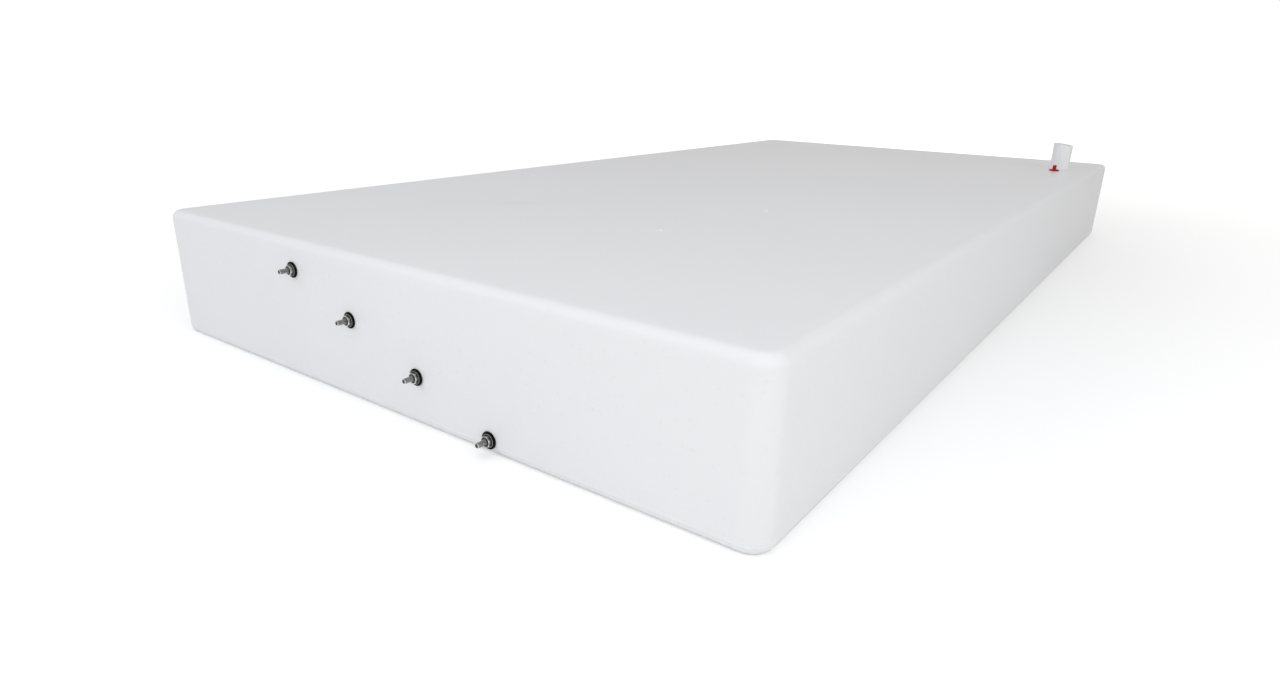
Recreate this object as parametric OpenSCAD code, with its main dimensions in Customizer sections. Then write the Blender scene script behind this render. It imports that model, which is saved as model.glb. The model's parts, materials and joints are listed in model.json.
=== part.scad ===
// Flat fresh water tank with a fill spout, a plugged vent, an outlet, a drain
// and four water-level probes. Millimetres.
// The origin is the centre of the shell's bottom face. +X runs across the tank,
// +Y runs from the probe end to the outlet end, and +Z is up.

/* [Tank shell] */
// Width of the tank
tank_w = 787.4; // [640:0.1:1000]
// Length of the tank
tank_l = 1524; // [1200:0.1:1900]
// Height of the tank
tank_h = 146.05; // [118:0.05:240]
// Thickness of the shell's wall
wall = 4.8; // [3.5:0.1:6]
// Radius of the four upright corners
corner_r = 19; // [14:0.5:40]
// Radius of the edge round the top
top_edge_r = 9.5; // [7:0.1:13]
// Radius of the edge round the bottom
bottom_edge_r = 6.4; // [5:0.1:8]

/* [Fill spout] */
// Outside diameter of the spout, which a hose slips over
spout_od = 33.4; // [26:0.1:42]
// Bore of the spout
spout_bore = 25.4; // [20:0.1:25.4]
// Height of the spout's tall side above the tank
spout_h = 49; // [40:0.5:90]
// Slant of the spout's cut end
spout_slant = 8; // [0:1:12]
// Width of the weld bead round the spout's foot
weld_bead = 2.5; // [1:0.1:4]
// Distance from the tank's right side to the spout's centre
spout_from_side = 62; // [45:0.5:200]
// Distance from the outlet end to the spout's centre
spout_from_end = 188; // [60:1:400]

/* [Vent and drain plugs] */
// Distance from the tank's right side to the vent's centre
vent_from_side = 63.5; // [45:0.5:200]
// Distance from the outlet end to the vent's centre
vent_from_end = 233; // [230:1:460]
// Distance from the tank's left side to the drain's centre
drain_from_side = 90; // [60:1:300]
// Height of the drain's centre
drain_z = 24; // [20:0.5:30]
// Diameter of the plug's shank
plug_shank_d = 11; // [8:0.1:13.2]
// Length of the plug's shank
plug_shank_l = 10; // [6:0.5:12]
// Gap between the plug's shank and its insert, where the threads are
plug_gap = 0.3; // [0.1:0.05:0.4]
// How far the plug's flange reaches past its insert's neck, on to the shell
plug_flange_lap = 0.6; // [0.1:0.1:3]
// Thickness of the plug's flange
plug_flange_t = 3; // [1.5:0.1:5]
// Width across the flats of the plug's grip
plug_grip_af = 6.6; // [4:0.1:10]
// Height of the plug's grip
plug_grip_h = 7.4; // [4:0.1:14]
// Outside diameter of the insert's neck
insert_d = 16; // [14.6:0.1:19.2]
// Diameter of the insert's collar inside the tank
insert_collar_d = 24; // [19.8:0.1:29]
// Thickness of the insert's collar
insert_collar_t = 2.5; // [1.5:0.1:4]
// Length of the insert
insert_l = 14; // [12:0.5:20]

/* [Outlet] */
// Distance from the tank's right side to the outlet's centre
outlet_from_side = 90; // [60:1:300]
// Height of the outlet's centre
outlet_z = 34; // [30:0.5:45]
// Bore of the outlet's threaded socket
outlet_bore = 18.2; // [15:0.1:22]
// Depth of the outlet's threaded socket
outlet_socket_l = 16; // [13:0.5:25]
// Bore of the passage from the tank to the socket
outlet_passage = 15; // [10:0.1:15]
// Outside diameter of the outlet's hub
outlet_hub_d = 30; // [25:0.5:36]
// Outside diameter of the outlet's neck, in the shell's wall
outlet_neck_d = 26; // [21.6:0.5:31]
// Diameter of the outlet's weld flange
outlet_flange_d = 46; // [38:0.5:56]
// Thickness of the outlet's weld flange
outlet_flange_t = 4; // [2:0.1:6]

/* [Level probes] */
// Places of the four probes across the end, measured from its centre
probe_x = [-136.5, -48, 45, 135.5]; // [-250:0.5:250]
// Distance from the top face down to the highest probe
probe_from_top = 30; // [26:0.5:50]
// Height of the lowest probe
probe_low_z = 12.7; // [12.7:0.1:20]
// Diameter of the threaded stud
stud_d = 4.83; // [3.8:0.01:5.8]
// Pitch diameter of the stud's thread, where the nut grips it
stud_pitch_d = 4.14; // [3.2:0.01:5]
// Length of stud outside the wall
stud_out = 14.6; // [12:0.1:20]
// Bevel at the stud's tip
stud_bevel = 0.5; // [0.2:0.1:1]
// Diameter of the outer rubber seal
outer_seal_d = 16; // [13.2:0.1:18]
// Thickness of the outer rubber seal
outer_seal_t = 1.8; // [1.4:0.1:3.5]
// Diameter of the outer steel washer
washer_d = 12.7; // [12:0.1:15.5]
// Thickness of each steel washer
washer_t = 0.8; // [0.6:0.1:1.6]
// Clearance round the stud in each washer, seal and hole
stud_gap = 0.15; // [0.05:0.05:0.4]
// Width across the flats of the nut
nut_af = 9.5; // [7.9:0.1:11.4]
// Thickness of the nut
nut_t = 2.6; // [2:0.1:4]
// Diameter of the inner rubber seal
inner_seal_d = 12.4; // [11:0.1:12.4]
// Thickness of the inner rubber seal
inner_seal_t = 2; // [1:0.1:3]
// Diameter of the inner steel washer
inner_washer_d = 11; // [10.4:0.1:12]
// Width across the flats of the bolt's head
head_af = 8; // [6.6:0.1:9]
// Thickness of the bolt's head
head_t = 3; // [2:0.1:4]

/* [Hidden] */
$fn = 96;
LEVELS = ["full", "two_thirds", "one_third", "empty"];

past = 1;            // how far a cut runs past a face
least_edge_r = 0.8;  // smallest radius inside the shell
right_side = tank_w / 2;
outlet_end = tank_l / 2;
probe_end = -tank_l / 2;
probe_high_z = tank_h - probe_from_top;
probe_rise = (probe_high_z - probe_low_z) / (len(LEVELS) - 1);
spout_at = [right_side - spout_from_side, outlet_end - spout_from_end, tank_h];
vent_at = [right_side - vent_from_side, outlet_end - vent_from_end, tank_h];
drain_at = [-right_side + drain_from_side, outlet_end, drain_z];
outlet_at = [right_side - outlet_from_side, outlet_end, outlet_z];

// Where a probe's axis meets the outside of the end wall
function probe_at(i) = [probe_x[i], probe_end, probe_high_z - i * probe_rise];
function across_corners(af) = af / cos(30);

// The flange covers the insert's neck and seats on the shell round it
plug_flange_d = insert_d + 2 * plug_flange_lap;

// Half of a wall's section, from the z axis out to r, with rounded outer corners
module edge_section(r, h, top_r, bottom_r) {
    difference() {
        square([r, h]);
        translate([r - bottom_r, 0]) square(bottom_r);
        translate([r - top_r, h - top_r]) square(top_r);
    }
    intersection() {
        translate([r - bottom_r, bottom_r]) circle(r = bottom_r);
        translate([r - bottom_r, 0]) square(bottom_r);
    }
    intersection() {
        translate([r - top_r, h - top_r]) circle(r = top_r);
        translate([r - top_r, h - top_r]) square(top_r);
    }
}

// A block whose upright corners, top edge and bottom edge are all rounded
module rounded_slab(w, l, h, r, top_r, bottom_r) {
    core = [w - 2 * r, l - 2 * r];
    translate([-core[0] / 2, -core[1] / 2, 0]) cube([core[0], core[1], h]);
    for (turn = [0:3]) {
        along = core[1 - turn % 2];
        reach = core[turn % 2] / 2;
        rotate([0, 0, 90 * turn]) {
            translate([reach, along / 2, 0])
                rotate([90, 0, 0])
                    linear_extrude(height = along) edge_section(r, h, top_r, bottom_r);
            translate([reach, along / 2, 0])
                rotate_extrude(angle = 90) edge_section(r, h, top_r, bottom_r);
        }
    }
}

// Puts its children on a probe's axis, with +Z pointing out of the tank
module at_probe(i) {
    translate(probe_at(i)) rotate([90, 0, 0]) children();
}

// Puts its children on the outlet end's wall, with +Z pointing out of the tank
module on_outlet_end(place) {
    translate(place) rotate([-90, 0, 0]) children();
}

module wall_hole(d) {
    translate([0, 0, -wall - past]) cylinder(d = d, h = wall + 2 * past);
}

module ring(od, id, t) {
    difference() {
        cylinder(d = od, h = t);
        translate([0, 0, -past]) cylinder(d = id, h = t + 2 * past);
    }
}

module tank_shell() {
    color([0.91, 0.92, 0.93])
    difference() {
        rounded_slab(tank_w, tank_l, tank_h, corner_r, top_edge_r, bottom_edge_r);
        translate([0, 0, wall])
            rounded_slab(
                tank_w - 2 * wall, tank_l - 2 * wall, tank_h - 2 * wall, corner_r - wall,
                max(top_edge_r - wall, least_edge_r), max(bottom_edge_r - wall, least_edge_r)
            );
        translate(spout_at) wall_hole(spout_od);
        translate(vent_at) wall_hole(insert_d);
        on_outlet_end(drain_at) wall_hole(insert_d);
        on_outlet_end(outlet_at) wall_hole(outlet_neck_d);
        for (i = [0:3]) at_probe(i) wall_hole(stud_d + 2 * stud_gap);
    }
}

module fill_spout() {
    color([0.88, 0.89, 0.9])
    translate(spout_at)
    difference() {
        union() {
            translate([0, 0, -wall]) cylinder(d = spout_od, h = wall + spout_h);
            rotate_extrude()
                polygon([
                    [spout_od / 2 - past, 0],
                    [spout_od / 2 + weld_bead, 0],
                    [spout_od / 2, weld_bead],
                    [spout_od / 2 - past, weld_bead]
                ]);
        }
        translate([0, 0, -wall - past]) cylinder(d = spout_bore, h = wall + spout_h + 2 * past);
        translate([-spout_od / 2, 0, spout_h])
            rotate([0, spout_slant, 0])
                translate([-spout_od, -spout_od, 0]) cube([3 * spout_od, 2 * spout_od, spout_od]);
    }
}

// A threaded insert moulded into the wall, with its mouth at z = 0
module insert() {
    color([0.86, 0.87, 0.88])
    difference() {
        union() {
            translate([0, 0, -insert_l]) cylinder(d = insert_d, h = insert_l);
            translate([0, 0, -wall - insert_collar_t])
                cylinder(d = insert_collar_d, h = insert_collar_t);
        }
        translate([0, 0, -insert_l - past])
            cylinder(d = plug_shank_d + 2 * plug_gap, h = insert_l + 2 * past);
    }
}

module plug() {
    color([0.72, 0.02, 0.03]) {
        translate([0, 0, -plug_shank_l]) cylinder(d = plug_shank_d, h = plug_shank_l);
        cylinder(d = plug_flange_d, h = plug_flange_t);
        translate([0, 0, plug_flange_t])
            cylinder(d = across_corners(plug_grip_af), h = plug_grip_h, $fn = 6);
    }
}

module vent_insert() {
    translate(vent_at) insert();
}

module vent_plug() {
    translate(vent_at) plug();
}

module drain_insert() {
    on_outlet_end(drain_at) insert();
}

module drain_plug() {
    on_outlet_end(drain_at) plug();
}

module outlet_fitting() {
    socket_floor = outlet_flange_t / 2;
    color([0.86, 0.87, 0.88])
    on_outlet_end(outlet_at)
    difference() {
        union() {
            translate([0, 0, -wall]) cylinder(d = outlet_neck_d, h = wall + outlet_flange_t);
            cylinder(d = outlet_flange_d, h = outlet_flange_t);
            cylinder(d = outlet_hub_d, h = socket_floor + outlet_socket_l);
        }
        translate([0, 0, -wall - past])
            cylinder(d = outlet_passage, h = wall + socket_floor + 2 * past);
        translate([0, 0, socket_floor]) cylinder(d = outlet_bore, h = outlet_socket_l + past);
    }
}

// The probe's pieces from the inside out, with the wall's outer face at z = 0
head_top = -wall - inner_seal_t - washer_t;
nut_foot = outer_seal_t + washer_t;
nut_top = nut_foot + nut_t;

module probe_bolt() {
    color([0.75, 0.75, 0.76]) {
        translate([0, 0, head_top - head_t])
            cylinder(d = across_corners(head_af), h = head_t, $fn = 6);
        translate([0, 0, head_top]) cylinder(d = stud_d, h = nut_foot - head_top);
        translate([0, 0, nut_foot]) cylinder(d = stud_pitch_d, h = nut_t);
        translate([0, 0, nut_top]) cylinder(d = stud_d, h = stud_out - stud_bevel - nut_top);
        translate([0, 0, stud_out - stud_bevel])
            cylinder(d1 = stud_d, d2 = stud_d - 2 * stud_bevel, h = stud_bevel);
    }
}

module probe_inner_washer() {
    color([0.72, 0.72, 0.73])
    translate([0, 0, head_top]) ring(inner_washer_d, stud_d + 2 * stud_gap, washer_t);
}

module probe_inner_seal() {
    color([0.06, 0.06, 0.06])
    translate([0, 0, -wall - inner_seal_t]) ring(inner_seal_d, stud_d + 2 * stud_gap, inner_seal_t);
}

module probe_outer_seal() {
    color([0.06, 0.06, 0.06])
    ring(outer_seal_d, stud_d + 2 * stud_gap, outer_seal_t);
}

module probe_washer() {
    color([0.78, 0.78, 0.79])
    translate([0, 0, outer_seal_t]) ring(washer_d, stud_d + 2 * stud_gap, washer_t);
}

module probe_nut() {
    color([0.78, 0.78, 0.79])
    translate([0, 0, nut_foot])
    difference() {
        cylinder(d = across_corners(nut_af), h = nut_t, $fn = 6);
        translate([0, 0, -past]) cylinder(d = stud_pitch_d, h = nut_t + 2 * past);
    }
}

tank_shell();
fill_spout();
outlet_fitting();
vent_insert();
vent_plug();
drain_insert();
drain_plug();

for (i = [0:3]) {
    at_probe(i) probe_bolt();
    at_probe(i) probe_inner_washer();
    at_probe(i) probe_inner_seal();
    at_probe(i) probe_outer_seal();
    at_probe(i) probe_washer();
    at_probe(i) probe_nut();
}
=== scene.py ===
"""A flat rotomoulded fresh water tank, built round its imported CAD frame.

Metres throughout, in the CAD model's own frame: +X across the tank, +Y from the
probe end to the outlet end, +Z up.
"""

import json
import math

import bmesh
import bpy
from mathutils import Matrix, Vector, noise


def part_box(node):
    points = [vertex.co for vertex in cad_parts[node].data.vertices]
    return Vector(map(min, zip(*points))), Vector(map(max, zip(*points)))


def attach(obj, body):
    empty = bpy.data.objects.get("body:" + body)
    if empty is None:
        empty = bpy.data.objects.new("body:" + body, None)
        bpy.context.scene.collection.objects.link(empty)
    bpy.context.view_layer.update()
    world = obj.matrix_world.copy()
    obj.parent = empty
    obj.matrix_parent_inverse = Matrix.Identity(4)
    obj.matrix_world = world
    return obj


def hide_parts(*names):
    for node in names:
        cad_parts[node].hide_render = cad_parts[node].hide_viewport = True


MM = 0.001
TURN = 2 * math.pi
LEVELS = ("full", "two_thirds", "one_third", "empty")

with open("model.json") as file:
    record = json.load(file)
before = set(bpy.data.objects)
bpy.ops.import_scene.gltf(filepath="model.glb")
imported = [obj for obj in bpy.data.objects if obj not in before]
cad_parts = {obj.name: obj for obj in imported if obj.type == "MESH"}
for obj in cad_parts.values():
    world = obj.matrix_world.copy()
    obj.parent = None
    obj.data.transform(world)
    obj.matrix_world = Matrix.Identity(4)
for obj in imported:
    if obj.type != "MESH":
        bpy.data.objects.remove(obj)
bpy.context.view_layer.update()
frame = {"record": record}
scene = bpy.context.scene


# --------------------------------------------------------- modelling helpers


def clear_selection():
    if bpy.context.mode != "OBJECT":
        bpy.ops.object.mode_set(mode="OBJECT")
    bpy.ops.object.select_all(action="DESELECT")


def take(piece):
    """Makes a piece the only selected one, and the active one."""
    clear_selection()
    piece.select_set(True)
    bpy.context.view_layer.objects.active = piece


def open_mesh(piece, kind="VERT"):
    """Opens a piece in edit mode with nothing selected."""
    take(piece)
    bpy.ops.object.mode_set(mode="EDIT")
    bpy.ops.mesh.select_mode(type=kind)
    bpy.ops.mesh.select_all(action="DESELECT")


def close_mesh(piece):
    bpy.ops.object.mode_set(mode="OBJECT")
    return piece


def pick(piece, kind, test):
    """Selects the open piece's verts, edges or faces that pass a test."""
    mesh = bmesh.from_edit_mesh(piece.data)
    for part in getattr(mesh, kind):
        part.select_set(bool(test(part)))
    mesh.select_flush_mode()
    bmesh.update_edit_mesh(piece.data)


def name_piece(name):
    piece = bpy.context.object
    piece.name = name
    piece.data.name = name
    return piece


def settle(piece):
    """Puts a piece's place, turn and scale into its mesh."""
    take(piece)
    bpy.ops.object.transform_apply(location=True, rotation=True, scale=True)
    return piece


def apply_modifier(piece, kind, **settings):
    take(piece)
    modifier = piece.modifiers.new(kind.title(), kind)
    for key, value in settings.items():
        setattr(modifier, key, value)
    bpy.ops.object.modifier_apply(modifier=modifier.name)
    return piece


def shade(piece, angle=32):
    take(piece)
    bpy.ops.object.shade_smooth_by_angle(angle=math.radians(angle))
    return piece


def tidy_skin(piece, gap=0.002 * MM):
    """Welds doubled points and turns every face outwards."""
    open_mesh(piece)
    bpy.ops.mesh.select_all(action="SELECT")
    bpy.ops.mesh.remove_doubles(threshold=gap)
    bpy.ops.mesh.normals_make_consistent(inside=False)
    return close_mesh(piece)


def join(*pieces):
    take(pieces[0])
    for piece in pieces[1:]:
        piece.select_set(True)
    bpy.ops.object.join()
    return pieces[0]


def cut(piece, cutter, operation="DIFFERENCE"):
    """Cuts, joins or trims a piece with another, which is used up."""
    apply_modifier(piece, "BOOLEAN", object=cutter, operation=operation, solver="EXACT")
    bpy.data.objects.remove(cutter)
    return piece


def arc(centre, radius, start, end, steps=6):
    """Points on an arc of an outline, from one angle to another, in degrees."""
    angles = (math.radians(start + (end - start) * i / steps) for i in range(steps + 1))
    return [(centre[0] + radius * math.cos(a), centre[1] + radius * math.sin(a)) for a in angles]


def drawn_line(name, points):
    """One vertex extruded along (radius, height) points, in the XZ plane."""
    bpy.ops.mesh.primitive_plane_add(size=MM, location=(0, 0, 0))
    line = name_piece(name)
    open_mesh(line)
    bpy.ops.mesh.select_all(action="SELECT")
    bpy.ops.mesh.merge(type="CENTER")
    bpy.ops.transform.translate(value=(points[0][0], 0, points[0][1]))
    for here, there in zip(points, points[1:]):
        step = (there[0] - here[0], 0, there[1] - here[1])
        bpy.ops.mesh.extrude_vertices_move(TRANSFORM_OT_translate={"value": step})
    return close_mesh(line)


def turned(name, points, steps=64):
    """A piece turned on a lathe: an outline spun about the Z axis."""
    piece = drawn_line(name, points)
    open_mesh(piece)
    bpy.ops.mesh.select_all(action="SELECT")
    bpy.ops.mesh.spin(steps=steps, angle=TURN, center=(0, 0, 0), axis=(0, 0, 1))
    close_mesh(piece)
    return tidy_skin(piece)


CLEAN_CUT = 0.0001 * MM


def threaded(name, major, minor, pitch, low, high, steps=40):
    """A screw thread about the Z axis that runs past low and high, with closed ends."""
    crest, root = 0.12 * pitch, 0.2 * pitch
    outline = [
        (minor, 0),
        (minor, root),
        (major, pitch / 2 - crest / 2 + root / 2),
        (major, pitch / 2 + crest / 2 + root / 2),
        (minor, pitch),
    ]
    turns = math.ceil((high - low) / pitch) + 3
    piece = drawn_line(name, outline)
    apply_modifier(
        piece, "SCREW", angle=TURN, screw_offset=pitch, iterations=turns,
        steps=steps, render_steps=steps, use_merge_vertices=True,
        merge_threshold=0.01 * pitch,
    )
    open_mesh(piece)
    bpy.ops.mesh.select_all(action="SELECT")
    bpy.ops.transform.translate(value=(0, 0, low - 1.5 * pitch))
    for end, waste in ((low, "clear_inner"), (high, "clear_outer")):
        bpy.ops.mesh.select_all(action="SELECT")
        bpy.ops.mesh.bisect(
            plane_co=(0, 0, end), plane_no=(0, 0, 1), use_fill=True, threshold=CLEAN_CUT,
            **{waste: True},
        )
    close_mesh(piece)
    return tidy_skin(piece)


def corner_radius(flats):
    """How far a hexagon's corners are from its middle, by its width across the flats."""
    return flats / 2 / math.cos(TURN / 12)


def hexagon(name, flats, low, high):
    """A six-sided bar about the Z axis, by its width across the flats."""
    bpy.ops.mesh.primitive_cylinder_add(
        vertices=6, radius=corner_radius(flats), depth=high - low, location=(0, 0, (low + high) / 2)
    )
    return settle(name_piece(name))


def rounded(piece, width, segments=2, angle=30):
    """Rounds every edge sharper than an angle."""
    return apply_modifier(
        piece, "BEVEL", width=width, segments=segments, limit_method="ANGLE",
        angle_limit=math.radians(angle), harden_normals=False,
    )


# ------------------------------------------------------- sizes from the frame


def centre(node):
    low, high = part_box(node)
    return (low + high) / 2


def span(node):
    low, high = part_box(node)
    return high - low


def half_width(node):
    return span(node).x / 2


def mount(name):
    return next(m for m in frame["record"]["mounts"] if m["name"] == name)


SHELL_LOW, SHELL_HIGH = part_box("tank_shell")
SHELL = SHELL_HIGH - SHELL_LOW
PROBE_FACE = SHELL_LOW.y
OUTLET_FACE = SHELL_HIGH.y
TOP = SHELL_HIGH.z
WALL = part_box("inner_seal_full")[0].y - PROBE_FACE
CORNER_R = 19 * MM
TOP_EDGE_R = 9.5 * MM
BOTTOM_EDGE_R = 6.4 * MM

SPOUT_R = mount("fill_spigot")["dims"]["r_mm"] * MM
SPOUT_BORE_R = 12.7 * MM
SPOUT_SLANT = math.radians(8)
WELD_BEAD = span("fill_spout").x / 2 - SPOUT_R

INSERT_COLLAR_R = span("vent_insert").x / 2
INSERT_LENGTH = span("vent_insert").z
INSERT_R = 8 * MM
INSERT_BORE_R = 5.8 * MM
INSERT_COLLAR = 2.5 * MM

PLUG_FLANGE_R = span("vent_plug").x / 2
PLUG_FLANGE = 3 * MM
PLUG_GRIP_FLATS = 6.6 * MM
PLUG_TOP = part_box("vent_plug")[1].z - TOP
PLUG_SHANK_R = 5.5 * MM
PLUG_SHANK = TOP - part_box("vent_plug")[0].z
PLUG_PITCH = 1.5 * MM

OUTLET_FLANGE_R = span("outlet_fitting").x / 2
OUTLET_FLANGE = 4 * MM
OUTLET_HUB_R = 15 * MM
OUTLET_NECK_R = 13 * MM
OUTLET_BORE_R = mount("outlet_thread")["dims"]["r_mm"] * MM
OUTLET_PASSAGE_R = 7.5 * MM
OUTLET_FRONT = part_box("outlet_fitting")[1].y - OUTLET_FACE
OUTLET_SOCKET_FLOOR = OUTLET_FRONT - 16 * MM
OUTLET_PITCH = 1.81 * MM

STUD_R = mount("probe_stud_full")["dims"]["r_mm"] * MM
STUD_ROOT_R = STUD_R - 0.5 * MM
STUD_PITCH = 1.06 * MM
STUD_OUT = PROBE_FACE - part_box("bolt_full")[0].y
STUD_BEVEL = 0.5 * MM
STUD_HOLE_R = STUD_R + 0.15 * MM
HEAD_FLATS = span("bolt_full").z
HEAD_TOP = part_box("bolt_full")[1].y - PROBE_FACE
HEAD_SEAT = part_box("inner_washer_full")[1].y - PROBE_FACE
THREAD_START = -HEAD_SEAT - 0.5 * MM
THREAD_END = STUD_OUT + 0.5 * MM
HEAD_WASHER_R = half_width("inner_washer_full")
INSIDE_SEAL_R = half_width("inner_seal_full")
INSIDE_SEAL_LOW = PROBE_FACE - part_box("inner_seal_full")[1].y
OUTSIDE_SEAL_R = half_width("outer_seal_full")
OUTSIDE_SEAL_TOP = PROBE_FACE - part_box("outer_seal_full")[0].y
WASHER_R = half_width("washer_full")
NUT_FLATS = span("nut_full").z
NUT_FOOT = PROBE_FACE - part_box("nut_full")[1].y
PROBE_SPINS = (0.30, 0.12, 0.55, 0.84)


# ------------------------------------------------------------------ materials


class Wire:
    """A node's socket that takes part in plain arithmetic."""

    def __init__(self, nodes, socket):
        self.nodes = nodes
        self.socket = socket

    def maths(self, operation, *values):
        return self.nodes.add("Math", {"operation": operation}, dict(enumerate(values)))

    def __add__(self, other):
        return self.maths("ADD", self, other)

    def __radd__(self, other):
        return self.maths("ADD", other, self)

    def __sub__(self, other):
        return self.maths("SUBTRACT", self, other)

    def __rsub__(self, other):
        return self.maths("SUBTRACT", other, self)

    def __mul__(self, other):
        return self.maths("MULTIPLY", self, other)

    def __rmul__(self, other):
        return self.maths("MULTIPLY", other, self)

    def __truediv__(self, other):
        return self.maths("DIVIDE", self, other)

    def __rtruediv__(self, other):
        return self.maths("DIVIDE", other, self)


class Nodes:
    """A tree of nodes that are added one by one."""

    def __init__(self, tree):
        self.tree = tree

    def add(self, kind, settings=None, inputs=None, out=0):
        """Adds a node from its type, its settings and its inputs' values or wires."""
        node = self.tree.nodes.new("ShaderNode" + kind)
        for key, value in (settings or {}).items():
            if key == "stops":
                self.set_stops(node.color_ramp, value)
            else:
                setattr(node, key, value)
        for key, value in (inputs or {}).items():
            self.feed(node.inputs[key], value)
        return Wire(self, node.outputs[out])

    @staticmethod
    def set_stops(ramp, stops):
        for element, (place, level) in zip(ramp.elements, (stops[0], stops[-1])):
            element.position = place
            element.color = (level, level, level, 1)
        for place, level in stops[1:-1]:
            ramp.elements.new(place).color = (level, level, level, 1)

    def feed(self, socket, value):
        if isinstance(value, Wire):
            self.tree.links.new(value.socket, socket)
        elif isinstance(value, tuple) and len(value) == 3 and socket.type == "RGBA":
            socket.default_value = (*value, 1)
        else:
            socket.default_value = value


class Finish(Nodes):
    """A material built up round its Principled shader."""

    def __init__(self, name):
        self.material = bpy.data.materials.new(name)
        self.material.use_nodes = True
        super().__init__(self.material.node_tree)
        self.shader = self.tree.nodes["Principled BSDF"]

    def set(self, **values):
        """Sets or wires the shader's sockets: Base_Color=..., Roughness=..."""
        for key, value in values.items():
            self.feed(self.shader.inputs[key.replace("_", " ")], value)
        return self

    def place(self, stretch=(1, 1, 1)):
        """Object coordinates, in metres, with each axis stretched."""
        at = self.add("TexCoord", out="Object")
        return self.add("Mapping", {}, {"Vector": at, "Scale": stretch})

    def noise(self, scale, detail=2, stretch=(1, 1, 1), roughness=0.5):
        """Noise from 0 to 1, with so many lumps in a metre."""
        inputs = {
            "Vector": self.place(stretch), "Scale": scale, "Detail": detail,
            "Roughness": roughness,
        }
        return self.add("TexNoise", {}, inputs)

    def ramp(self, value, *stops):
        return self.add("ValToRGB", {"stops": stops}, {"Fac": value})

    def blend(self, factor, low, high):
        """A colour between two others."""
        return self.add("Mix", {"data_type": "RGBA"}, {0: factor, 6: low, 7: high}, out=2)

    def bump(self, height, distance, strength=1.0, under=None):
        inputs = {"Height": height, "Distance": distance, "Strength": strength}
        if under is not None:
            inputs["Normal"] = under
        return self.add("Bump", {}, inputs)


def natural_polyethylene():
    """Milky, slightly see-through plastic with the mould's faint orange peel."""
    finish = Finish("natural_polyethylene")
    cloud = finish.noise(4, detail=3)
    speck = finish.noise(260, detail=2)
    peel = finish.noise(190, detail=3, roughness=0.55)
    grain = finish.noise(1400, detail=1)
    milk = finish.blend(cloud, (0.79, 0.80, 0.815), (0.84, 0.845, 0.855))
    colour = finish.blend(finish.ramp(speck, (0.62, 0), (0.8, 0.35)), milk, (0.70, 0.70, 0.70))
    return finish.set(
        Base_Color=colour,
        Roughness=0.22 + 0.12 * cloud + 0.05 * grain,
        Normal=finish.bump(grain, 0.02 * MM, 0.4, finish.bump(peel, 0.12 * MM, 0.5)),
        Subsurface_Weight=0.15,
        Subsurface_Radius=(1.0, 0.98, 0.95),
        Subsurface_Scale=5 * MM,
        IOR=1.5,
    ).material


def red_plastic():
    finish = Finish("red_plastic")
    cloud = finish.noise(140, detail=3)
    grain = finish.noise(2500, detail=2)
    return finish.set(
        Base_Color=finish.blend(cloud, (0.35, 0.0, 0.0), (0.46, 0.001, 0.001)),
        Roughness=0.28 + 0.14 * cloud,
        Specular_IOR_Level=0.3,
        Normal=finish.bump(grain, 0.02 * MM, 0.5),
    ).material


def black_rubber():
    finish = Finish("black_rubber")
    dust = finish.noise(420, detail=4, roughness=0.6)
    grain = finish.noise(3200, detail=2)
    dusty = finish.ramp(dust, (0.5, 0), (0.78, 1))
    return finish.set(
        Base_Color=finish.blend(dusty, (0.001, 0.001, 0.001), (0.006, 0.006, 0.006)),
        Roughness=0.5 + 0.2 * dust,
        Specular_IOR_Level=0.12,
        Normal=finish.bump(grain, 0.03 * MM, 0.6),
    ).material


def steel(name, dark, light, roughness):
    """Stainless steel with faint smears and fine scratches."""
    finish = Finish(name)
    smear = finish.noise(300, detail=3)
    scratch = finish.noise(900, detail=3, stretch=(1, 5, 1), roughness=0.65)
    return finish.set(
        Base_Color=finish.blend(smear, dark, light),
        Metallic=1.0,
        Roughness=roughness + 0.16 * smear + 0.08 * scratch,
        Normal=finish.bump(scratch, 0.015 * MM, 0.5),
    ).material


POLYETHYLENE = natural_polyethylene()
RED_PLASTIC = red_plastic()
RUBBER = black_rubber()
# Two copies of the stainless are painted light. The near-black one paints shade on the bolt heads and
# on the flat faces of the nuts, washers and stud ends. The near-white one paints a highlight on the
# nut chamfers and the stud's tip bevel.
PAINTED_SHADE_STEEL = steel("stainless_pressed", (0.045, 0.045, 0.046), (0.11, 0.11, 0.11), 0.25)
THREAD_STEEL = steel("stainless_thread", (0.28, 0.28, 0.275), (0.42, 0.415, 0.41), 0.16)
PAINTED_HIGHLIGHT_STEEL = steel("stainless_bright", (0.82, 0.815, 0.80), (0.92, 0.915, 0.90), 0.10)
ROLLED_STEEL = steel("stainless_rolled", (0.28, 0.28, 0.275), (0.40, 0.395, 0.39), 0.15)


def dress(piece, material):
    piece.data.materials.clear()
    piece.data.materials.append(material)
    return piece


def paint_shade_or_highlight(piece, material, test):
    """Gives the faces that pass a test a second material, which on the steel parts is painted shade
    or a painted highlight.
    """
    piece.data.materials.append(material)
    last = len(piece.data.materials) - 1
    for face in piece.data.polygons:
        if test(face):
            face.material_index = last
    return piece


def fit(piece, slot, body, *nodes):
    """Puts a piece on its body and hides the CAD nodes that it stands for."""
    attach(piece, body)
    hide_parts(*nodes)
    return piece


def copy_to(piece, name, place, turn=(0, 0, 0), spin=0):
    """A copy with a mesh of its own, spun on its axis, then turned and moved into place."""
    twin = piece.copy()
    twin.data = piece.data.copy()
    twin.name = twin.data.name = name
    scene.collection.objects.link(twin)
    twin.rotation_euler = (0, 0, spin)
    settle(twin)
    twin.rotation_euler = turn
    twin.location = place
    return settle(twin)


OUT_OF_PROBE_END = (TURN / 4, 0, 0)
OUT_OF_OUTLET_END = (-TURN / 4, 0, 0)


# ---------------------------------------------------------------------- shell

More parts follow.
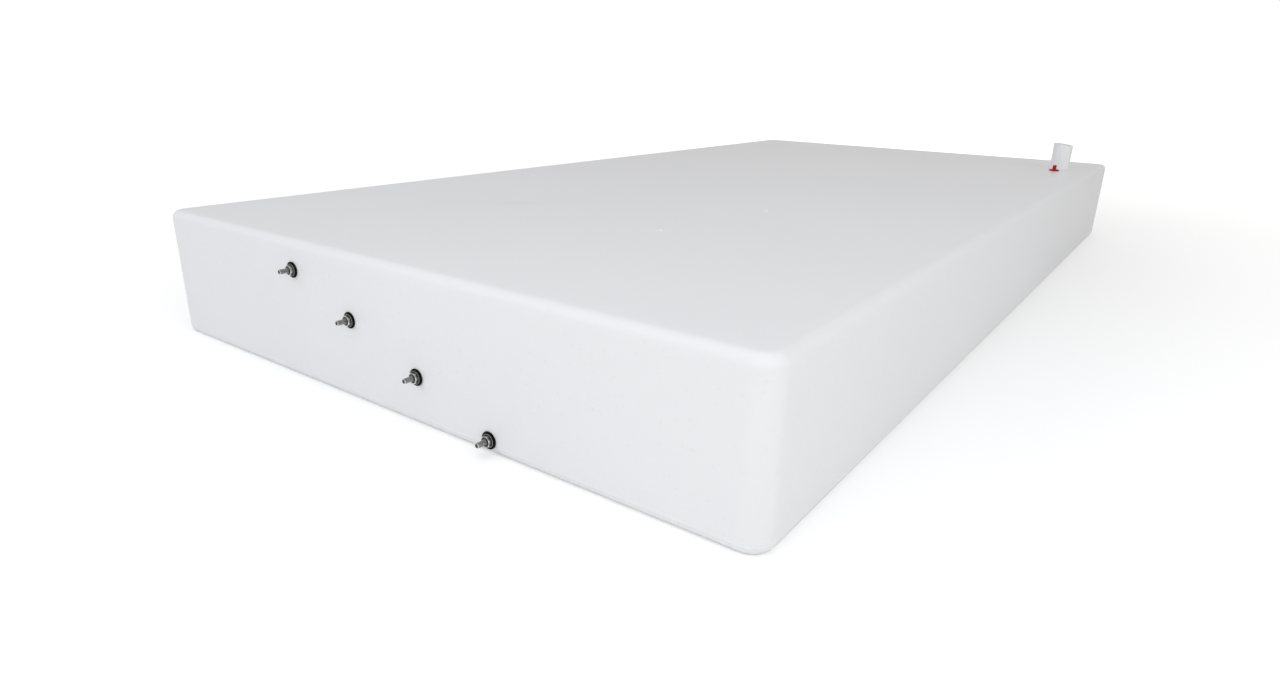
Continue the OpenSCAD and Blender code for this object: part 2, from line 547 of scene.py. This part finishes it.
CUT_EVERY = 36 * MM
TOP_CROWN = 1.6 * MM
SIDE_CROWN = 1.2 * MM
RIPPLE = 0.35 * MM
PARTING_LINE_Z = 7.6 * MM
PARTING_RIDGE = 0.35 * MM
PIPS = ((0.110, -0.479), (0.137, -0.284))


def edge_is_upright(edge):
    a, b = (v.co for v in edge.verts)
    return abs(a.z - b.z) > SHELL.z / 2


def rim_edge(z):
    """Tests for the edges of the outline at one height."""
    return lambda edge: all(abs(v.co.z - z) < 0.01 * MM for v in edge.verts)


def bevel_picked(offset, segments):
    bpy.ops.mesh.bevel(
        offset=offset, segments=segments, profile=0.5, affect="EDGES", clamp_overlap=False
    )


def slice_mesh(piece, axis, places):
    """Adds a line of edges round the piece at each place along an axis."""
    normal = [0, 0, 0]
    normal[axis] = 1
    for place in places:
        point = [0, 0, 0]
        point[axis] = place
        bpy.ops.mesh.select_all(action="SELECT")
        bpy.ops.mesh.bisect(plane_co=point, plane_no=normal)


def between(low, high, step):
    """Even places from low to high, with one more close inside each end."""
    count = max(1, round((high - low) / step))
    close = 1.5 * MM
    return [low + (high - low) * i / count for i in range(count + 1)] + [low + close, high - close]


def flat_share(value, low, high):
    """1 in the middle of a flat stretch, falling smoothly to 0 at its ends."""
    reach = (value - (low + high) / 2) / ((high - low) / 2)
    return max(0, 1 - reach * reach)


def seats():
    """Where something seats on the shell, and how far round it the wall stays flat."""
    studs = [(centre("nut_" + level), 20 * MM) for level in LEVELS]
    rest = [(centre(node), 40 * MM) for node in ("outlet_fitting", "fill_spout")]
    plugs = [(centre(node), 25 * MM) for node in ("vent_plug", "drain_plug")]
    return studs + rest + plugs


def swell(piece):
    """Crowns the flat faces a little and gives them the slow ripple of a thin moulding."""
    flat_spots = seats()
    ends = [
        (SHELL_LOW.x + CORNER_R, SHELL_HIGH.x - CORNER_R),
        (SHELL_LOW.y + CORNER_R, SHELL_HIGH.y - CORNER_R),
        (BOTTOM_EDGE_R, TOP - TOP_EDGE_R),
    ]
    faces = (
        (2, TOP, TOP_CROWN), (0, SHELL_LOW.x, -SIDE_CROWN), (0, SHELL_HIGH.x, SIDE_CROWN),
        (1, SHELL_LOW.y, -SIDE_CROWN), (1, SHELL_HIGH.y, SIDE_CROWN),
    )
    for vertex in piece.data.vertices:
        p = vertex.co.copy()
        shares = [flat_share(p[axis], *ends[axis]) for axis in range(3)]
        wave = 2 * RIPPLE * noise.noise(p * 5.5)
        clear = min(min(1, max(0, (p - at).length / reach - 1)) for at, reach in flat_spots)
        for axis, level, crown in faces:
            if abs(p[axis] - level) < 0.01 * MM:
                share = shares[axis - 1] * shares[axis - 2]
                rise = crown * share + math.copysign(wave, crown) * min(1, 4 * share)
                vertex.co[axis] += rise * clear


def make_shell():
    bpy.ops.mesh.primitive_cube_add(size=1, location=(SHELL_LOW + SHELL_HIGH) / 2, scale=SHELL)
    shell = settle(name_piece("shell"))
    open_mesh(shell, "EDGE")
    pick(shell, "edges", edge_is_upright)
    bevel_picked(CORNER_R, 14)
    pick(shell, "edges", rim_edge(TOP))
    bevel_picked(TOP_EDGE_R, 8)
    pick(shell, "edges", rim_edge(0))
    bevel_picked(BOTTOM_EDGE_R, 6)
    slice_mesh(shell, 0, between(SHELL_LOW.x + CORNER_R, SHELL_HIGH.x - CORNER_R, CUT_EVERY))
    slice_mesh(shell, 1, between(SHELL_LOW.y + CORNER_R, SHELL_HIGH.y - CORNER_R, CUT_EVERY))
    slice_mesh(shell, 2, between(BOTTOM_EDGE_R + 3 * MM, TOP - TOP_EDGE_R, CUT_EVERY / 2))
    slice_mesh(shell, 2, [PARTING_LINE_Z + k * 0.6 * MM for k in (-1, 0, 1)])
    close_mesh(shell)
    swell(shell)
    raise_parting_line(shell)
    apply_modifier(shell, "SOLIDIFY", thickness=WALL, offset=-1, use_even_offset=True)
    cut(shell, make_hole_cutters())
    cut(shell, make_pips(), "UNION")
    return fit(dress(shade(shell), POLYETHYLENE), "natural_polyethylene", "tank", "tank_shell")


def raise_parting_line(shell):
    """The thin line left where the mould's two halves met, low on the sides."""
    open_mesh(shell)
    pick(shell, "verts", lambda v: abs(v.co.z - PARTING_LINE_Z) < 0.05 * MM)
    grow = [(SHELL[axis] + 2 * PARTING_RIDGE) / SHELL[axis] for axis in (0, 1)]
    bpy.ops.transform.resize(value=(*grow, 1), center_override=(0, 0, PARTING_LINE_Z))
    close_mesh(shell)


def cutter(place, radius, depth, turn=(0, 0, 0)):
    bpy.ops.mesh.primitive_cylinder_add(
        vertices=64, radius=radius, depth=depth, location=place, rotation=turn
    )
    return settle(bpy.context.object)


def make_hole_cutters():
    deep = 4 * WALL
    spout, vent = centre("fill_spout"), centre("vent_insert")
    drain, outlet = centre("drain_insert"), centre("outlet_fitting")
    cutters = [
        cutter((spout.x, spout.y, TOP), SPOUT_R, deep),
        cutter((vent.x, vent.y, TOP), INSERT_R, deep),
        cutter((drain.x, OUTLET_FACE, drain.z), INSERT_R, deep, OUT_OF_OUTLET_END),
        cutter((outlet.x, OUTLET_FACE, outlet.z), OUTLET_NECK_R, deep, OUT_OF_OUTLET_END),
    ]
    for level in LEVELS:
        nut = centre("nut_" + level)
        cutters.append(cutter((nut.x, PROBE_FACE, nut.z), STUD_HOLE_R, deep, OUT_OF_PROBE_END))
    return join(*cutters)


def make_pips():
    """Two small vent marks that the mould leaves on the top."""
    pips = []
    for x, y in PIPS:
        rim = arc((2.4 * MM, 0.9 * MM), 0.6 * MM, 90, 0, 4)
        outline = [(0, 1.5 * MM)] + rim + [(3.4 * MM, -2 * MM), (0, -2 * MM)]
        pip = turned("pip", outline, 24)
        pip.location = (x, y, TOP + TOP_CROWN * 0.8)
        pips.append(settle(pip))
    return join(*pips)


# ------------------------------------------------------- spout, plugs and outlet

def make_spout():
    """The fill spout: a tube cut at a slant, with the bead of its weld round its foot."""
    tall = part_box("fill_spout")[1].z - TOP
    bead = WELD_BEAD
    outline = (
        [(SPOUT_BORE_R, -WALL), (SPOUT_R, -WALL), (SPOUT_R, 0), (SPOUT_R + bead, 0)]
        + arc((SPOUT_R + 0.62 * bead, 0.36 * bead), 0.38 * bead, -20, 75, 5)
        + arc((SPOUT_R + 0.62 * bead, 1.25 * bead), 0.56 * bead, 260, 190, 4)
        + [(SPOUT_R, 1.5 * bead), (SPOUT_R, tall + 3 * MM)]
        + [(SPOUT_BORE_R, tall + 3 * MM), (SPOUT_BORE_R, -WALL)]
    )
    spout = turned("spout", outline, 96)
    open_mesh(spout)
    bpy.ops.mesh.select_all(action="SELECT")
    bpy.ops.mesh.bisect(
        plane_co=(-SPOUT_R, 0, tall),
        plane_no=(math.sin(SPOUT_SLANT), 0, math.cos(SPOUT_SLANT)),
        use_fill=True,
        clear_outer=True,
    )
    close_mesh(spout)
    rounded(spout, 0.7 * MM, 3, 50)
    for vertex in spout.data.vertices:
        height = vertex.co.z / bead
        if 0.05 < height < 1.6 and vertex.co.xy.length > SPOUT_R:
            vertex.co.z *= 1 + 0.18 * noise.noise(vertex.co * 260)
    spout.location = (centre("fill_spout").x, centre("fill_spout").y, TOP)
    settle(spout)
    return fit(dress(shade(spout), POLYETHYLENE), "natural_polyethylene", "tank", "fill_spout")


def make_insert():
    """A threaded insert, with its mouth at z = 0."""
    under_wall = -WALL - INSERT_COLLAR
    soft = 0.5 * MM
    outline = (
        [(INSERT_BORE_R + 0.6 * MM, 0), (INSERT_R, 0), (INSERT_R, -WALL)]
        + [(INSERT_COLLAR_R - soft, -WALL), (INSERT_COLLAR_R, -WALL - soft)]
        + [(INSERT_COLLAR_R, under_wall + soft), (INSERT_COLLAR_R - soft, under_wall)]
        + [(INSERT_R + soft, under_wall), (INSERT_R, under_wall - soft)]
        + [(INSERT_R, -INSERT_LENGTH + soft), (INSERT_R - soft, -INSERT_LENGTH)]
        + [(INSERT_BORE_R, -INSERT_LENGTH), (INSERT_BORE_R, -0.6 * MM)]
    )
    insert = turned("insert", outline + outline[:1], 64)
    thread = threaded(
        "insert_thread", INSERT_BORE_R + 0.6 * MM, INSERT_BORE_R - 0.1 * MM,
        PLUG_PITCH, -INSERT_LENGTH - 1 * MM, 1 * MM, 48,
    )
    cut(insert, thread)
    return dress(shade(insert, 25), POLYETHYLENE)


def make_plug():
    """The plug: a threaded shank, a flange that seals, and a grip for a spanner."""
    shank = threaded(
        "plug", PLUG_SHANK_R, PLUG_SHANK_R - 0.75 * MM, PLUG_PITCH,
        -PLUG_SHANK - 0.5 * MM, PLUG_FLANGE / 2 + 0.3 * MM, 48,
    )
    tip = PLUG_SHANK_R - 1.3 * MM
    clear = PLUG_SHANK_R + 0.05 * MM
    blank = turned("shank_blank", [
        (0, -PLUG_SHANK), (tip, -PLUG_SHANK), (clear, -PLUG_SHANK + 1.2 * MM),
        (clear, -2.2 * MM), (PLUG_SHANK_R - 0.8 * MM, -1.2 * MM),
        (PLUG_SHANK_R - 0.8 * MM, PLUG_FLANGE / 2), (0, PLUG_FLANGE / 2),
    ], 54)
    cut(shank, blank, "INTERSECT")
    hollow = turned("hollow", [
        (0, -PLUG_SHANK - 1 * MM), (3 * MM, -PLUG_SHANK - 1 * MM),
        (2.7 * MM, -2.5 * MM), (2 * MM, -1.6 * MM), (0, -1.4 * MM),
    ], 32)
    cut(shank, hollow)
    rim = 0.9 * MM
    seat = PLUG_FLANGE_R - 1.4 * MM
    outline = (
        [(0, 0), (seat, 0), (seat + 0.2 * MM, 0.7 * MM)]
        + arc((PLUG_FLANGE_R - 0.5 * MM, 1.2 * MM), 0.5 * MM, 270, 360, 4)
        + arc((PLUG_FLANGE_R - rim, PLUG_FLANGE - 0.25 * MM - rim), rim, 0, 85, 6)
        + [(PLUG_GRIP_FLATS, PLUG_FLANGE), (0, PLUG_FLANGE)]
    )
    flange = turned("flange", outline, 72)
    grip = hexagon("grip", PLUG_GRIP_FLATS, PLUG_FLANGE / 2, PLUG_TOP)
    open_mesh(grip, "FACE")
    pick(grip, "faces", lambda face: face.normal.z > 0.9)
    bpy.ops.transform.resize(value=(0.95, 0.95, 1), center_override=(0, 0, PLUG_TOP))
    close_mesh(grip)
    rounded(grip, 0.45 * MM, 3, 40)
    dimple = turned("dimple", [
        (0, PLUG_TOP + 1 * MM), (1.5 * MM, PLUG_TOP + 1 * MM), (1.3 * MM, PLUG_TOP - 0.3 * MM),
        (0.5 * MM, PLUG_TOP - 0.35 * MM), (0.4 * MM, PLUG_TOP - 0.1 * MM), (0, PLUG_TOP - 0.1 * MM),
    ], 32)
    cut(grip, dimple)
    cut(flange, grip, "UNION")
    cut(shank, flange, "UNION")
    return dress(shade(shank, 28), RED_PLASTIC)


def make_outlet():
    """The outlet: a welded flange with driving ribs and a hub with a pipe thread."""
    edge = 0.8 * MM
    front = OUTLET_FRONT
    outline = (
        [(OUTLET_PASSAGE_R, -WALL), (OUTLET_NECK_R - edge, -WALL), (OUTLET_NECK_R, edge - WALL)]
        + [(OUTLET_NECK_R, 0), (OUTLET_FLANGE_R - 0.3 * MM, 0)]
        + arc((OUTLET_FLANGE_R - 1.6 * MM, OUTLET_FLANGE - 1.9 * MM), 1.6 * MM, 0, 80, 6)
        + arc((OUTLET_HUB_R + 1.5 * MM, OUTLET_FLANGE + 1.5 * MM), 1.5 * MM, 270, 180, 6)
        + [(OUTLET_HUB_R - 0.3 * MM, front - edge), (OUTLET_HUB_R - edge - 0.3 * MM, front)]
        + [(OUTLET_BORE_R + 1.3 * MM, front), (OUTLET_BORE_R, front - 1.3 * MM)]
        + [(OUTLET_BORE_R, OUTLET_SOCKET_FLOOR), (OUTLET_PASSAGE_R, OUTLET_SOCKET_FLOOR)]
        + [(OUTLET_PASSAGE_R, -WALL)]
    )
    outlet = turned("outlet", outline, 96)
    thread = threaded(
        "outlet_pipe_thread", OUTLET_BORE_R + 1.0 * MM, OUTLET_BORE_R - 0.1 * MM,
        OUTLET_PITCH, OUTLET_SOCKET_FLOOR + 1.2 * MM, front + 1 * MM, 70,
    )
    cut(outlet, thread)
    rib = make_driving_rib()
    ribs = [copy_to(rib, "rib", (0, 0, 0), spin=TURN * i / 8) for i in range(8)]
    bpy.data.objects.remove(rib)
    cut(outlet, join(*ribs), "UNION")
    return dress(shade(outlet, 28), POLYETHYLENE)


def make_driving_rib():
    """One of the ribs by which the outlet is spun while it is welded on."""
    reach = OUTLET_FLANGE_R - OUTLET_HUB_R - 1.5 * MM
    bpy.ops.mesh.primitive_cube_add(
        size=1,
        location=(OUTLET_HUB_R + reach / 2 - 1 * MM, 0, OUTLET_FLANGE + 1.5 * MM),
        scale=(reach + 1 * MM, 2.4 * MM, 5 * MM),
    )
    rib = settle(name_piece("rib"))
    open_mesh(rib, "VERT")
    outer = OUTLET_HUB_R + reach / 2
    pick(rib, "verts", lambda v: v.co.x > outer and v.co.z > OUTLET_FLANGE + 1 * MM)
    bpy.ops.transform.translate(value=(-0.55 * reach, 0, 0))
    close_mesh(rib)
    return rounded(rib, 0.4 * MM, 2, 40)


# --------------------------------------------------------------------- probes


def make_stud():
    """A probe's bolt: its head is inside the tank, and its tip points out at +Z."""
    tip = STUD_R - STUD_BEVEL
    clear = STUD_R + 0.06 * MM
    shaft = threaded("stud", STUD_R, STUD_ROOT_R, STUD_PITCH, THREAD_START, THREAD_END)
    blank = turned("stud_blank", [
        (0, THREAD_START), (STUD_R - 0.3 * MM, THREAD_START),
        (clear, -HEAD_SEAT + 1.5 * MM), (clear, STUD_OUT - STUD_BEVEL),
        (tip, STUD_OUT - 0.08 * MM), (tip - 0.1 * MM, STUD_OUT), (0, STUD_OUT),
    ], 46)
    cut(shaft, blank, "INTERSECT")
    head = hexagon("head", HEAD_FLATS, -HEAD_TOP, -HEAD_SEAT)
    rounded(head, 0.12 * MM, 2, 40)
    flat = HEAD_FLATS / 2
    corner = corner_radius(HEAD_FLATS) + 0.1 * MM
    face_step = HEAD_SEAT + 0.25 * MM
    head_blank = turned("head_blank", [
        (0, -HEAD_TOP), (flat * 0.93, -HEAD_TOP), (corner, -HEAD_TOP + 0.75 * MM),
        (corner, -face_step), (flat * 0.97, -face_step), (flat * 0.95, -HEAD_SEAT), (0, -HEAD_SEAT),
    ], 60)
    cut(head, head_blank, "INTERSECT")
    cut(shaft, tidy_skin(head, 0.02 * MM), "UNION")
    dress(shade(shaft, 26), THREAD_STEEL)
    # Painted shade: the dark steel on the bolt head and on the tip's end face. Painted highlight: the
    # near-white steel on the tip bevel.
    paint_shade_or_highlight(shaft, PAINTED_SHADE_STEEL, lambda face: face.center.z < -HEAD_SEAT + 0.1 * MM)
    paint_shade_or_highlight(shaft, PAINTED_SHADE_STEEL, lambda face: face.center.z > STUD_OUT - 0.02 * MM)
    return paint_shade_or_highlight(shaft, PAINTED_HIGHLIGHT_STEEL, is_tip_bevel)


def is_tip_bevel(face):
    return face.center.z > STUD_OUT - STUD_BEVEL and 0.3 < face.normal.z < 0.97


def is_chamfer(face):
    """Tests for a turned face that neither lies flat nor stands upright."""
    return 0.12 < abs(face.normal.z) < 0.97 and face.center.xy.length > 1.3 * STUD_R


def make_nut():
    """A hex nut on the stud's thread, chamfered on both faces."""
    low = NUT_FOOT
    high = low + span("nut_full").y
    nut = hexagon("hex_nut", NUT_FLATS, low, high)
    open_mesh(nut, "EDGE")
    pick(nut, "edges", lambda e: abs(e.verts[0].co.z - e.verts[1].co.z) > 1 * MM)
    bevel_picked(0.2 * MM, 2)
    close_mesh(nut)
    flat = NUT_FLATS / 2
    corner = corner_radius(NUT_FLATS) + 0.1 * MM
    crown = 0.93 * flat
    chamfer = (corner - crown) * 0.6
    foot_chamfer = chamfer / 3
    mouth = STUD_R + 0.25 * MM
    bore = STUD_ROOT_R + 0.02 * MM
    blank = turned("nut_blank", [
        (bore, low + 0.5 * MM), (mouth, low), (0.97 * flat, low), (corner, low + foot_chamfer),
        (corner, high - chamfer), (crown, high), (mouth, high), (bore, high - 0.5 * MM),
        (bore, low + 0.5 * MM),
    ], 72)
    cut(nut, blank, "INTERSECT")
    thread = threaded(
        "nut_thread", STUD_R + 0.03 * MM, STUD_ROOT_R + 0.03 * MM, STUD_PITCH,
        THREAD_START, THREAD_END,
    )
    cut(nut, thread)
    dress(shade(nut, 26), ROLLED_STEEL)
    # Painted shade on the nut's flat faces and a painted highlight on its chamfers.
    paint_shade_or_highlight(nut, PAINTED_SHADE_STEEL, lambda face: abs(face.normal.z) > 0.97)
    return paint_shade_or_highlight(nut, PAINTED_HIGHLIGHT_STEEL, is_chamfer)


def make_washer(name, radius, low, high, roll=0.35 * MM):
    """A punched washer, rolled over on its outer face and sharp on its inner one."""
    bore = STUD_R + 0.15 * MM
    outline = (
        [(bore, low), (radius - 0.1 * MM, low), (radius, low + 0.1 * MM)]
        + arc((radius - roll, high - roll), roll, 0, 90, 4)
        + arc((bore + 0.2 * MM, high - 0.2 * MM), 0.2 * MM, 90, 180, 3)
        + [(bore, low)]
    )
    # The washer's faces get the near-black steel as painted shade. Its rolled rim keeps the plainer,
    # lighter steel.
    washer = dress(shade(turned(name, outline, 72), 40), PAINTED_SHADE_STEEL)
    return paint_shade_or_highlight(washer, ROLLED_STEEL, lambda face: face.center.xy.length > radius - roll)


def make_seal(name, radius, low, high):
    """A rubber seal, its rim squeezed into a bulge and its face dished by the washer."""
    bore = STUD_R + 0.12 * MM
    thick = high - low
    soft = 0.28 * thick
    outline = (
        [(bore, low), (radius - 1.6 * soft, low), (radius - soft, low + 0.15 * soft)]
        + arc((radius - soft, low + 1.3 * soft), soft, -40, 0, 3)
        + arc((radius - 1.2 * soft, high - 1.25 * soft), 1.2 * soft, 0, 90, 7)
        + [(radius - 2.2 * soft, high), (bore, high), (bore, low)]
    )
    return dress(shade(turned(name, outline, 72), 40), RUBBER)


def make_probes():
    """The probes: each of their pieces made once and copied to the four levels."""
    pieces = (
        ("bolt", "stainless", make_stud()),
        ("nut", "stainless", make_nut()),
        ("washer", "stainless", make_washer("flat_washer", WASHER_R, OUTSIDE_SEAL_TOP, NUT_FOOT)),
        ("outer_seal", "rubber", make_seal("outside_seal", OUTSIDE_SEAL_R, 0, OUTSIDE_SEAL_TOP)),
        ("inner_seal", "rubber", make_seal("inside_seal", INSIDE_SEAL_R, INSIDE_SEAL_LOW, -WALL)),
        ("inner_washer", "stainless",
         make_washer("head_washer", HEAD_WASHER_R, -HEAD_SEAT, INSIDE_SEAL_LOW)),
    )
    for node, slot, piece in pieces:
        for level, spin in zip(LEVELS, PROBE_SPINS):
            at = centre("nut_" + level)
            place = (at.x, PROBE_FACE, at.z)
            twin = copy_to(piece, f"{piece.name}_{level}", place, OUT_OF_PROBE_END, spin)
            fit(twin, slot, "tank", f"{node}_{level}")
        bpy.data.objects.remove(piece)


def place_fittings():
    vent, drain = centre("vent_insert"), centre("drain_insert")
    outlet = centre("outlet_fitting")
    vent_place = ((vent.x, vent.y, TOP), (0, 0, 0))
    drain_place = ((drain.x, OUTLET_FACE, drain.z), OUT_OF_OUTLET_END)
    insert, plug = make_insert(), make_plug()
    for side, (place, turn) in (("vent", vent_place), ("drain", drain_place)):
        twin = copy_to(insert, side + "_socket", place, turn)
        fit(twin, "natural_polyethylene", "tank", side + "_insert")
        twin = copy_to(plug, side + "_stopper", place, turn, 0.2)
        fit(twin, "red_plastic", side + "_plug", side + "_plug")
    bpy.data.objects.remove(insert)
    bpy.data.objects.remove(plug)
    fitting = make_outlet()
    twin = copy_to(fitting, "outlet_socket", (outlet.x, OUTLET_FACE, outlet.z), OUT_OF_OUTLET_END)
    fit(twin, "natural_polyethylene", "tank", "outlet_fitting")
    bpy.data.objects.remove(fitting)


# ----------------------------------------------------------- floor, light, view


FLOOR_R = 40
SOFT_BOX = (1.6, 1.2)


def white_to_camera(nodes, lit, white, output):
    """Shows a plain white in place of a surface or sky that still lights the tank as it is."""
    seen = nodes.add("LightPath", out="Is Camera Ray")
    shown = nodes.add("MixShader", {}, {0: seen, 1: lit, 2: white})
    nodes.feed(nodes.tree.nodes[output].inputs["Surface"], shown)


def make_floor():
    """A pale floor that runs out to the horizon, brighter the further it is from the tank."""
    bpy.ops.mesh.primitive_circle_add(
        vertices=96, radius=FLOOR_R, location=(0, 0, 0), fill_type="NGON"
    )
    floor = name_piece("floor")
    finish = Finish("pale_floor")
    away = finish.add("VectorMath", {"operation": "LENGTH"}, {0: finish.place((1, 0.7, 1))}, "Value")
    glow = finish.ramp(away / 6, (0.06, 0.20), (0.3, 0.55), (0.7, 0.75))
    finish.set(Base_Color=(0.84, 0.84, 0.84), Roughness=0.85)
    lit = Wire(finish, finish.shader.outputs[0])
    shine = finish.add("Emission", {}, {"Color": glow})
    white_to_camera(finish, lit, finish.add("AddShader", {}, {0: lit, 1: shine}), "Material Output")
    floor.data.materials.append(finish.material)


def light_sky():
    world = bpy.data.worlds.new("studio")
    world.use_nodes = True
    sky = Nodes(world.node_tree)
    lit = sky.add("Background", {}, {"Color": (1, 0.985, 0.97), "Strength": 0.6})
    white = sky.add("Background", {}, {"Color": (1, 1, 1)})
    white_to_camera(sky, lit, white, "World Output")
    scene.world = world


def area_light(name, place, aim, size, power, colour):
    bpy.ops.object.light_add(type="AREA", location=place)
    lamp = name_piece(name)
    lamp.data.shape = "RECTANGLE"
    lamp.data.size, lamp.data.size_y = size
    lamp.data.energy = power
    lamp.data.color = colour
    lamp.rotation_euler = (Vector(aim) - Vector(place)).to_track_quat("-Z", "Y").to_euler()
    return lamp


def light_scene():
    """Soft boxes on both sides of the near corner and overhead, so the far end falls away."""
    light_sky()
    lamps = (
        area_light("near_end", (-1.2, -2.4, 1.4), (-0.1, -0.6, 0.1), SOFT_BOX, 14.6, (0.91, 0.96, 1)),
        area_light("near_side", (2.2, -0.9, 1.2), (0.3, -0.2, 0.1), SOFT_BOX, 11.3, (0.89, 0.97, 1)),
        area_light("corner", (0.75, -1.5, 0.55), (0.1, -0.4, 0.1), (0.5, 0.4), 1.8, (1, 0.97, 0.95)),
        area_light("behind", (-0.7, 2.6, 0.7), (0, 0.8, 0.05), (1.8, 0.9), 6, (1, 1, 1)),
    )
    for lamp in lamps:
        lamp.visible_glossy = False
    area_light("far_side", (2.6, 0.6, 1.0), (0.35, 0.4, 0.1), SOFT_BOX, 2.5, (1, 0.8, 0.7))
    area_light("overhead", (0.2, -1.1, 1.9), (0.1, -0.6, 0.1), (1.4, 1.4), 4.3, (0.75, 0.8, 1))
    scene.view_settings.view_transform = "Standard"


def aim_camera():
    data = bpy.data.cameras.new("camera")
    data.lens = 21.89
    data.sensor_width = 36
    data.clip_start, data.clip_end = 0.01, 200
    camera = bpy.data.objects.new("camera", data)
    scene.collection.objects.link(camera)
    camera.location = (0.583, -1.170, 0.309)
    camera.rotation_euler = [math.radians(a) for a in (70.38, -1.24, 36.14)]
    scene.camera = camera


aim_camera()
light_scene()
make_floor()
make_shell()
make_spout()
place_fittings()
make_probes()
